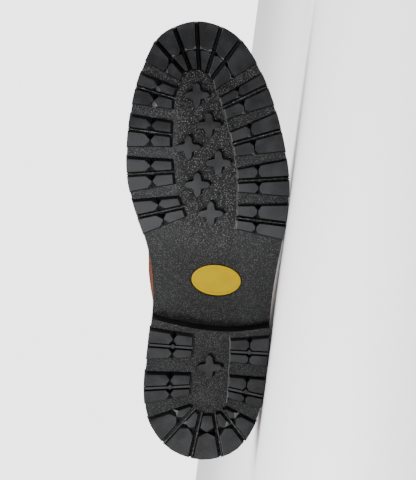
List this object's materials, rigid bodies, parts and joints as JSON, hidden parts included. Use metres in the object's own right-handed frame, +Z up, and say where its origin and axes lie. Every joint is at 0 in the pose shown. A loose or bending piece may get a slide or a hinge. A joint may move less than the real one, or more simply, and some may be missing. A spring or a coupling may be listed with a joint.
{
  "type": "lace-up boot",
  "caption": "Left lace-up leather work boot lying on its outer side, with a lugged rubber outsole, a separate heel block, a welt, laced quarters over a plain vamp, and a tongue.",
  "frame": {"origin": "centre of the bounding box in plan, on the floor that the boot lies on", "axes": "+X from heel to toe, +Y from the tread towards the collar, +Z up from the floor towards the inner side of the boot"},
  "size_m": [0.305, 0.1992, 0.119],
  "materials": {
    "rubber": "charcoal rubber, satin lug faces, pebbled floors",
    "amber_inset": "plain amber",
    "welt_leather": "brown edge-dressed leather",
    "insole_leather": "natural tan leather board",
    "upper_leather": "red-brown smooth leather",
    "lace": "dark brown round braid",
    "eyelet_brass": "satin brass"
  },
  "bodies": {
    "root": {"outsole": "rubber", "heel": "rubber", "waist_inset": "amber_inset", "welt": "welt_leather", "insole": "insole_leather", "upper": "upper_leather", "tongue": "upper_leather", "lace": "lace", "eyelet_medial_1": "eyelet_brass", "eyelet_medial_2": "eyelet_brass", "eyelet_medial_3": "eyelet_brass", "eyelet_medial_4": "eyelet_brass", "eyelet_medial_5": "eyelet_brass", "eyelet_medial_6": "eyelet_brass", "eyelet_medial_7": "eyelet_brass", "eyelet_lateral_1": "eyelet_brass", "eyelet_lateral_2": "eyelet_brass", "eyelet_lateral_3": "eyelet_brass", "eyelet_lateral_4": "eyelet_brass", "eyelet_lateral_5": "eyelet_brass", "eyelet_lateral_6": "eyelet_brass", "eyelet_lateral_7": "eyelet_brass"}
  },
  "joints": []
}
